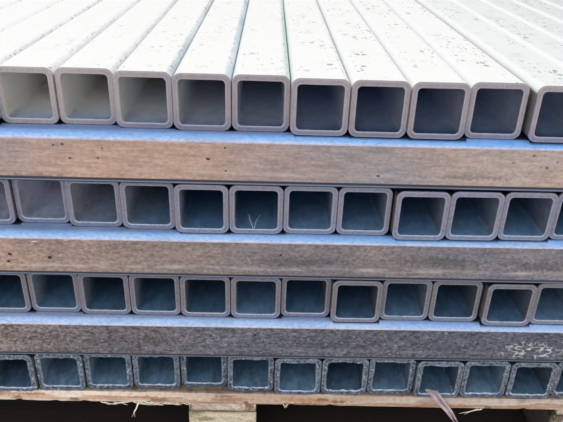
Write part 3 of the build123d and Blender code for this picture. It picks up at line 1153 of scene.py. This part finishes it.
def wood(name, pale, ringed, stain, along=0, inside_shade=None, stained=0.5, placed=(), wash=None):
    """Sawn softwood with its grain along an axis; placed are (tint, strength, dabs on the pallet's front)."""
    coat = Coat(name)
    order = (coat.x, coat.y, coat.z) if along == 0 else (coat.y, coat.x, coat.z)
    way = coat.add("ShaderNodeCombineXYZ", dict(enumerate(order)))[0]
    marks = coat.place(grain, way, Shift=coat.attribute("board"), Rings=26.0, Bend=5.0, Fibre=420.0)
    coat.colour = coat.over(pale, ringed, marks["Rings"], 0.7)
    coat.contrast(0.5, marks["Fibre"], (70, 55, 45), (235, 225, 215))
    coat.paint(stain, marks["Knots"], 0.7)
    blot = coat.mask(patches, Stretch=(0.6, 1, 1.2), Scale=22.0, Detail=5.0, From=0.55, To=0.72)
    coat.paint(stain, blot, stained)
    # the painted wash of light from left to right
    if wash:
        coat.colour = coat.mix(1.0, coat.colour, coat.across(-0.3, 0.3, *wash), "MULTIPLY")
    for tint, strength, spots in placed:
        coat.paint(tint, dabs(coat, spots, deck_front, 0.5, 40 * MM), strength)
    grime = coat.mask(patches, Scale=160.0, Detail=4.0, From=0.46, To=0.75)
    coat.paint((110, 92, 78), grime, 0.35)
    # a darker grey top, partly weathering and partly painted shade under what lies on it
    coat.paint((65, 59, 63), coat.spread(coat.facing_up, 0.4, 0.8), coat.spread(grime, 0.0, 1.0, 0.6, 0.85))
    # painted shade in the joint under the stringers
    coat.paint((78, 63, 48), joint_mask(coat, grime), 0.6)
    # painted shade on what lies behind the pallet's four sides
    if inside_shade:
        coat.paint(inside_shade, inside_mask(coat), 0.93)
    height = coat.calc("ADD", marks["Fibre"], marks["Rings"])
    return coat.seal(coat.spread(marks["Fibre"], 0.0, 1.0, 0.65, 0.85), 0.0, height, 0.5, 0.4 * MM)


print("the pallet's middle is at", [round(v, 3) for v in pallet_middle[:2]])

# %% [markdown]
# ## The pallet
# Deck boards and bottom boards run left to right, stringer boards front to back, and the blocks show
# their pale end grain in front. The bottom boards are a darker brown, and the stringers, blocks and bottom
# boards are painted with shade where they lie behind the pallet's four sides.

# %% Pallet woods
# colour of the painted shade behind the pallet's four sides
inside_shade = (40, 35, 38)
brown, black = (134, 88, 59), (63, 44, 38)

# Stains along the front board's lower edge, as (pixel x, pixel y, half width mm, half height mm)
edge_stains = [
    (brown, 0.7, [(18, 396, 9, 5), (75, 397, 8, 4), (160, 398, 14, 4), (300, 402, 30, 4), (352, 404, 26, 4),
                  (410, 405, 20, 4)]),
    ((176, 122, 84), 0.62, [(318, 398, 60, 5), (440, 402, 50, 6), (512, 405, 50, 6), (232, 397, 30, 4),
                                (36, 392, 20, 3), (140, 395, 30, 3)]),
    ((105, 69, 46), 0.6, [(322, 397, 10, 3), (338, 399, 12, 3), (486, 404, 8, 4), (226, 394, 18, 2)]),
    (black, 0.75, [(57, 400, 4, 3), (21, 399, 3, 3), (163, 401, 6, 2), (246, 400, 5, 3), (520, 408, 5, 3)]),
]
# darker dabs at the two front edges of the left stringer, brown on its right and black on its left
stringer_edge_dabs = [(brown, 0.85, [(249, 405, 8, 14)]), (black, 0.7, [(190.5, 405, 2, 10)])]
# an olive stain on the left block, and painted shade at the left edge of the right block's front
block_stain_and_shade = [((113, 105, 65), 0.6, [(196, 413, 12, 10), (204, 419, 16, 6)]),
                (black, 0.8, [(560, 418, 10, 26)])]
# a painted wash of light over the front board, palest on the left
painted_light_wash = [(0, 255, 253, 250), (0.3, 250, 244, 238), (0.5, 214, 198, 188), (0.7, 212, 200, 190),
            (1, 218, 214, 212)]

front_wood = wood("front board", (247, 237, 229), (202, 166, 139), (124, 86, 63), stained=0.7,
                  placed=edge_stains, wash=painted_light_wash)
deck_wood = wood("deck wood", (227, 206, 183), (200, 160, 126), (126, 88, 65))
stringer_wood = wood("stringer wood", (227, 218, 210), (200, 176, 158), (130, 92, 67), 1, inside_shade,
                     stained=0.3, placed=stringer_edge_dabs)
block_wood = wood("block wood", (226, 219, 202), (202, 186, 163), (126, 113, 80), 1, inside_shade,
                  stained=0.35, placed=block_stain_and_shade)
bottom_wood = wood("bottom board wood", (158, 139, 122), (126, 103, 86), (74, 59, 50), inside_shade=inside_shade)
print("woods:", [made.name for made in (front_wood, deck_wood, stringer_wood, block_wood, bottom_wood)])

# %% Make the pallet
nick_pixels = ((56, 399), (20, 399), (86, 400), (150, 401), (290, 404), (330, 405), (520, 409))
nick_width, nick_depth = 6 * MM, 2.6 * MM
nicks = [(photo_spot(pixel, 1, deck_front).x, nick_width, nick_depth) for pixel in nick_pixels]
pallet_looks = {"deck": (0, deck_wood), "bottom": (0, bottom_wood), "stringer": (1, stringer_wood),
                "block": (1, block_wood)}
for seed, node_name in enumerate(sorted(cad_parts)):
    family = node_name.split("_")[0]
    if node_name == "deck_board_1":
        make_timber(node_name, 0, front_wood, seed, 0.35 * MM, nicks, -9 * MM)
    elif family in pallet_looks:
        make_timber(node_name, *pallet_looks[family], seed)
print("pallet made, with", len(nicks), "nicks in its front board")

# %% [markdown]
# ## Slender things
# Splinters, bark and straws are all thin tapers that follow a few points. A curve object with a bevel
# would do, but one small mesh of four-sided rings is lighter and can be flat, as torn wood is. The points
# are read off the photograph in planes just in front of the piece that carries them.

# %% Slender pieces
taper_steps, taper_corners, taper_flatness = 8, 4, 0.5


def slender(name, routes, radius, material):
    """Thin tapering pieces in one mesh, each along a few points."""
    verts, faces = [], []
    for points in routes:
        curve = []
        for n in range(taper_steps + 1):
            share = n / taper_steps * (len(points) - 1)
            low = min(int(share), len(points) - 2)
            curve.append(points[low].lerp(points[low + 1], share - low))
        base = len(verts)
        for n, point in enumerate(curve):
            way = (curve[min(n + 1, taper_steps)] - curve[max(n - 1, 0)]).normalized()
            side = way.cross(Vector((0, 1, 0.2))).normalized()
            other = way.cross(side)
            thick = radius * (1.05 - n / taper_steps) ** 0.6
            for corner in range(taper_corners):
                angle = 2 * math.pi / taper_corners * corner + 0.3
                flat = math.sin(angle) * thick * taper_flatness
                verts.append(point + side * math.cos(angle) * thick + other * flat)
        ends = np.arange(taper_corners)[::-1], np.arange(taper_corners) + taper_steps * taper_corners
        faces += [(face + base).tolist() for face in (*ring_faces(taper_steps + 1, taper_corners), *ends)]
    mesh = bpy.data.meshes.new(name)
    mesh.from_pydata([tuple(v) for v in verts], [], faces)
    mesh.materials.append(material)
    piece = bpy.data.objects.new(name, mesh)
    scene.collection.objects.link(piece)
    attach(piece, "root")
    print(name, "has", len(routes), "slivers")


def by_pixel(routes, front):
    """Points in space for routes of (pixel x, pixel y, mm in front of a front face)."""
    return [[photo_spot((x, y), 1, front - ahead * MM) for x, y, ahead in route] for route in routes]


print("a sliver has", (taper_steps + 1) * taper_corners, "points")

# %% [markdown]
# ### Torn splinters
# Long splinters are routes of (pixel x, pixel y, mm in front of the board). The fringe is denser on the
# right, where the photograph shows most of it. Its random numbers have a fixed seed, so it never changes.

# %% Splinters
splinter_routes = [
    [(130, 401.5, 0), (120, 403, 2), (107, 404.5, 5)], [(128, 402, 0), (119, 402.5, 2), (110, 403.5, 4)],
    [(139, 401, 0), (136, 409, 3), (132, 417, 6)], [(136, 409, 3), (134, 412, 5), (135, 417, 8)],
    [(142, 401, 0), (152, 404, 2), (163, 405, 4)], [(150, 401, 0), (160, 405, 2), (170, 402, 4)],
    [(165, 401.5, 0), (172, 404, 1), (183, 404, 3)], [(283, 404, 0), (284, 405.5, 1), (287, 407.5, 3)],
    [(288, 404, 0), (286, 406, 1), (284, 408, 3)], [(482, 409, 4), (472, 411, 6), (459, 413.5, 9)],
    [(478, 409, 4), (470, 411.5, 6), (464, 414.5, 10)],
]
fringe_pixels, fringe_top = [(138, 188)] * 28 + [(100, 138)] * 6, 401.8
rng = np.random.default_rng(7)
for from_x, to_x in fringe_pixels:
    x, reach, drop = rng.uniform(from_x, to_x), rng.uniform(4, 13), rng.uniform(0.8, 3.8)
    splinter_routes.append([(x, fringe_top, -1), (x + 0.5 * reach, fringe_top + 0.7 * drop, 1),
                            (x + reach, fringe_top + drop, 3)])
splinter_wood = wood("splinter wood", (255, 255, 246), (255, 242, 216), (216, 185, 153))
slender("splinters", by_pixel(splinter_routes, deck_front - 3 * MM), 1.1 * MM, splinter_wood)

# %% [markdown]
# ### A strip of bark
# A fibrous strip of bark hangs out between a tube's end and the deck. It is made of the same slender
# tapers, put side by side and sagging one behind the other, with a few thinner threads in front.

# %% Bark
def tube_front(row, number):
    """Front end of one tube of a row, counted from the left."""
    return tube_boxes(f"row_tubes_{row}", 0)[number][0][1]


bark_root, bark_bend, bark_hang, bark_tip = (431, 390), (440, 401), (450, 413), (459, 425)
bark_pieces = {
    "bark_strip": {"half_width": 5.0, "count": 8, "radius": 1.7 * MM, "ahead": 0.0,
                   "colours": ((233, 223, 233), (195, 178, 189))},
    "bark_threads": {"half_width": 4.4, "count": 4, "radius": 0.7 * MM, "ahead": 0.8,
                     "colours": ((158, 134, 147), (122, 99, 111))},
}
for name, bark in bark_pieces.items():
    routes = []
    for n in range(bark["count"]):
        shift = 2 * n / (bark["count"] - 1) - 1
        aside = bark["half_width"] * shift
        sag = (n % 3) * 1.2 + bark["ahead"]
        routes.append([(bark_root[0] + aside, bark_root[1] + 0.8 * shift, bark["ahead"]),
                       (bark_bend[0] + 0.75 * aside, bark_bend[1], sag),
                       (bark_hang[0] + 0.6 * aside, bark_hang[1], 1 + sag),
                       (bark_tip[0] + 0.6 * aside, bark_tip[1] + 2 * (n % 4), 2 + sag)])
    bark_wood = wood(name.replace("_", " "), *bark["colours"], (84, 57, 65))
    slender(name, by_pixel(routes, tube_front(1, 14) - 1 * MM), bark["radius"], bark_wood)

# %% [markdown]
# ### Straws
# A few dry stalks lie in the tubes of the two middle rows. Most stand on a tube's floor: the foot is where
# its pixel's ray meets the floor, and the rest of the stalk leans back from there into the bore. One lies
# across a cut face of the row below.

# %% Straws
straw_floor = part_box("row_tubes_3")[0].z + tube_wall + 0.4 * MM
straw_pixels = [
    [(253.5, 230.5), (251.5, 222), (247.5, 213)], [(253.5, 230.5), (256, 221), (261, 214)],
    [(255, 224), (259, 221), (264, 221)], [(252, 226), (249, 219), (250, 214)],
    [(460, 224), (463, 221), (467, 222)], [(459, 221), (462, 223), (465, 223.5)],
]
lying_straw = [(387, 318.5, 1.2), (408, 315, 1), (424, 308, -9)]
straw_routes = []
for foot_pixel, *leaning in straw_pixels:
    foot = photo_spot(foot_pixel, 2, straw_floor)
    rest = [photo_spot(pixel, 1, foot.y + back) for pixel, back in zip(leaning, (2 * MM, 6 * MM))]
    straw_routes.append([foot, *rest])
straw_routes += by_pixel([lying_straw], tube_front(2, 13))
straw = wood("straw", (172, 182, 184), (138, 148, 152), (96, 104, 104))
slender("straws", straw_routes, 0.36 * MM, straw)

# %% [markdown]
# ## Floor
# The floor is a large pale disc that isn't part of the object. It only catches the soft shadow.

# %% Floor
floor_radius, floor_corners = 6.0, 64
floor_mesh = bpy.data.meshes.new("floor")
turns = np.linspace(0, 2 * math.pi, floor_corners, endpoint=False)
floor_mesh.from_pydata([(floor_radius * math.cos(a), floor_radius * math.sin(a), 0) for a in turns], [],
                       [list(range(floor_corners))])
floor = bpy.data.objects.new("floor", floor_mesh)
scene.collection.objects.link(floor)
coat = Coat("pale floor")
cloud = coat.mask(patches, Scale=3.0, Detail=4.0, From=0.3, To=0.7)
pale = coat.ramp(cloud, tones((0, 226, 226, 224), (1, 232, 232, 230)))
coat.link(pale, coat.shader.inputs["Base Color"])
coat.shader.inputs["Roughness"].default_value = 0.9
floor_mesh.materials.append(coat.material)
print("floor ready")

# %% [markdown]
